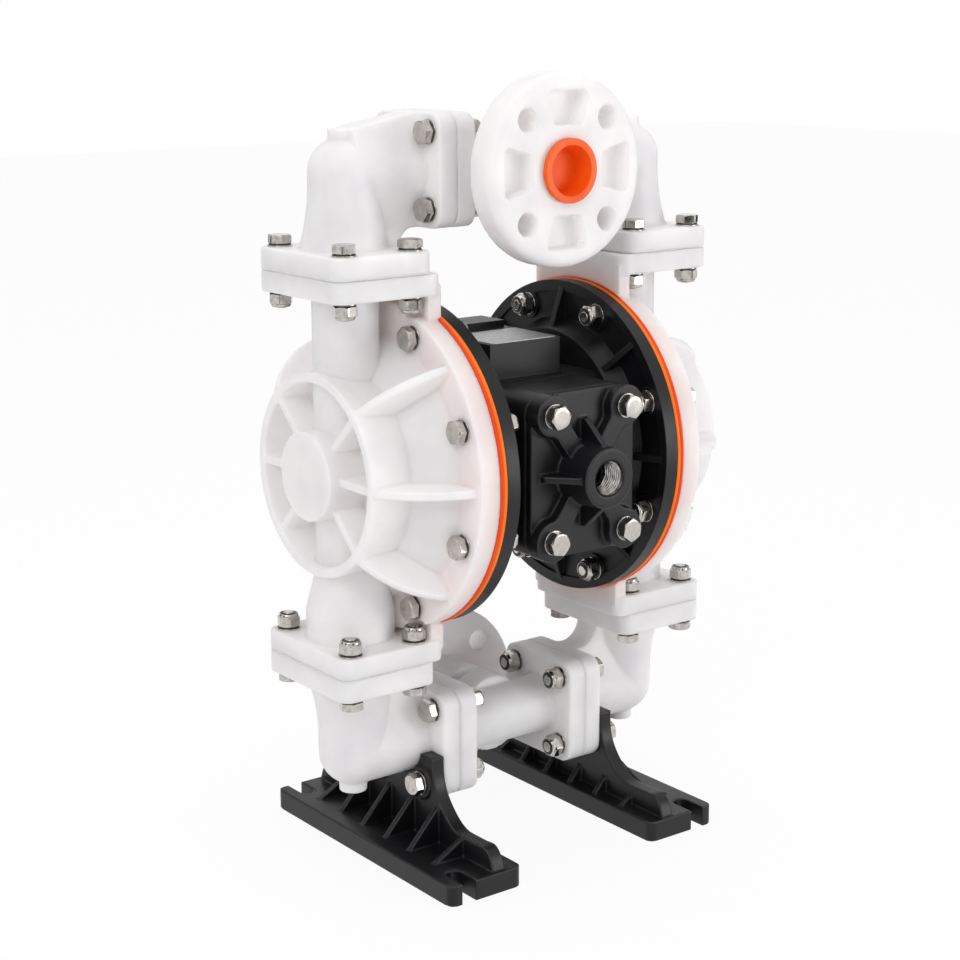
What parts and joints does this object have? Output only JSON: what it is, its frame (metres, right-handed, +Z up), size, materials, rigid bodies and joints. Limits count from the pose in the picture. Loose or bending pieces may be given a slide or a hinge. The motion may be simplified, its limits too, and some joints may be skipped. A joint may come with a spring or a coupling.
{
  "type": "air operated double diaphragm pump",
  "caption": "Twin-chamber diaphragm pump in white plastic with black air side, flanged discharge at the top front, flanged suction at the bottom rear and slotted feet.",
  "frame": {"origin": "centre of the footprint, on the plane that the feet stand on", "axes": "+X along the diaphragm rod to the right-hand chamber, -Y to the front, where the air inlet and the discharge flange are, +Z up"},
  "size_m": [0.2864, 0.2278, 0.4839],
  "materials": {
    "natural_polypropylene": "natural white, slightly translucent moulding",
    "black_plastic": "glass-filled black moulding",
    "orange_elastomer": "smooth orange elastomer",
    "orange_plastic": "smooth orange moulding",
    "white_ptfe": "turned smooth",
    "black_rubber": "moulded",
    "polished_steel": "ground and polished",
    "bronze": "turned",
    "aluminium": "turned",
    "inlet_metal": "threaded metal insert",
    "stainless_steel": "plain stainless"
  },
  "bodies": {
    "pump": {"right_outer_chamber": "natural_polypropylene", "left_outer_chamber": "natural_polypropylene", "upper_right_elbow": "natural_polypropylene", "upper_left_elbow": "natural_polypropylene", "lower_right_elbow": "natural_polypropylene", "lower_left_elbow": "natural_polypropylene", "discharge_manifold": "natural_polypropylene", "suction_manifold": "natural_polypropylene", "valve_seats": "natural_polypropylene", "right_inner_chamber": "black_plastic", "left_inner_chamber": "black_plastic", "centre_body": "black_plastic", "air_valve_body": "black_plastic", "air_valve_cap": "black_plastic", "right_foot": "black_plastic", "left_foot": "black_plastic", "exhaust_muffler": "black_plastic", "spool_end_plug": "black_plastic", "right_diaphragm": "orange_elastomer", "left_diaphragm": "orange_elastomer", "seat_rings": "black_rubber", "manifold_rings": "black_rubber", "air_valve_gasket": "black_rubber", "rod_seals": "black_rubber", "rod_bushes": "bronze", "pilot_sleeve": "bronze", "spool_sleeve": "aluminium", "air_inlet_insert": "inlet_metal", "chamber_bolts": "stainless_steel", "chamber_nuts": "stainless_steel", "upper_flange_bolts": "stainless_steel", "upper_flange_nuts": "stainless_steel", "lower_flange_bolts": "stainless_steel", "lower_flange_nuts": "stainless_steel", "upper_manifold_bolts": "stainless_steel", "upper_manifold_nuts": "stainless_steel", "lower_manifold_bolts": "stainless_steel", "lower_manifold_nuts": "stainless_steel", "foot_bolts": "stainless_steel", "valve_cap_screws": "stainless_steel", "centre_screws": "stainless_steel"},
    "diaphragm_assembly": {"diaphragm_rod": "polished_steel", "right_inner_plate": "aluminium", "left_inner_plate": "aluminium", "right_outer_plate": "natural_polypropylene", "left_outer_plate": "natural_polypropylene"},
    "pilot": {"pilot_rod": "polished_steel"},
    "spool": {"valve_spool": "aluminium", "spool_rings": "black_rubber"},
    "upper_left_valve_ball": {"upper_left_ball": "white_ptfe"},
    "upper_right_valve_ball": {"upper_right_ball": "white_ptfe"},
    "lower_left_valve_ball": {"lower_left_ball": "white_ptfe"},
    "lower_right_valve_ball": {"lower_right_ball": "white_ptfe"},
    "discharge_port_plug": {"discharge_plug": "orange_plastic"},
    "suction_port_plug": {"suction_plug": "orange_plastic"}
  },
  "joints": [
    {"name": "rod_slide", "type": "slide", "parent": "pump", "child": "diaphragm_assembly", "axis": [1, 0, 0], "range_m": [-0.009, 0.009], "deforming": ["right_diaphragm", "left_diaphragm"]},
    {"name": "pilot_slide", "type": "slide", "parent": "pump", "child": "pilot", "axis": [1, 0, 0], "range_m": [-0.003, 0.003]},
    {"name": "spool_slide", "type": "slide", "parent": "pump", "child": "spool", "axis": [0, 0, 1], "range_m": [0, 0.01]},
    {"name": "upper_left_ball_lift", "type": "slide", "parent": "pump", "child": "upper_left_valve_ball", "axis": [0, 0, 1], "range_m": [0, 0.008]},
    {"name": "upper_right_ball_lift", "type": "slide", "parent": "pump", "child": "upper_right_valve_ball", "axis": [0, 0, 1], "range_m": [0, 0.008]},
    {"name": "lower_left_ball_lift", "type": "slide", "parent": "pump", "child": "lower_left_valve_ball", "axis": [0, 0, 1], "range_m": [0, 0.008]},
    {"name": "lower_right_ball_lift", "type": "slide", "parent": "pump", "child": "lower_right_valve_ball", "axis": [0, 0, 1], "range_m": [0, 0.008]},
    {"name": "discharge_plug_pull", "type": "slide", "parent": "pump", "child": "discharge_port_plug", "axis": [0, -1, 0], "range_m": [0, 0.03]},
    {"name": "suction_plug_pull", "type": "slide", "parent": "pump", "child": "suction_port_plug", "axis": [0, 1, 0], "range_m": [0, 0.03]}
  ],
  "couplings": [
    {"joint": "pilot_slide", "follows": "rod_slide", "ratio": 0.33333}
  ]
}
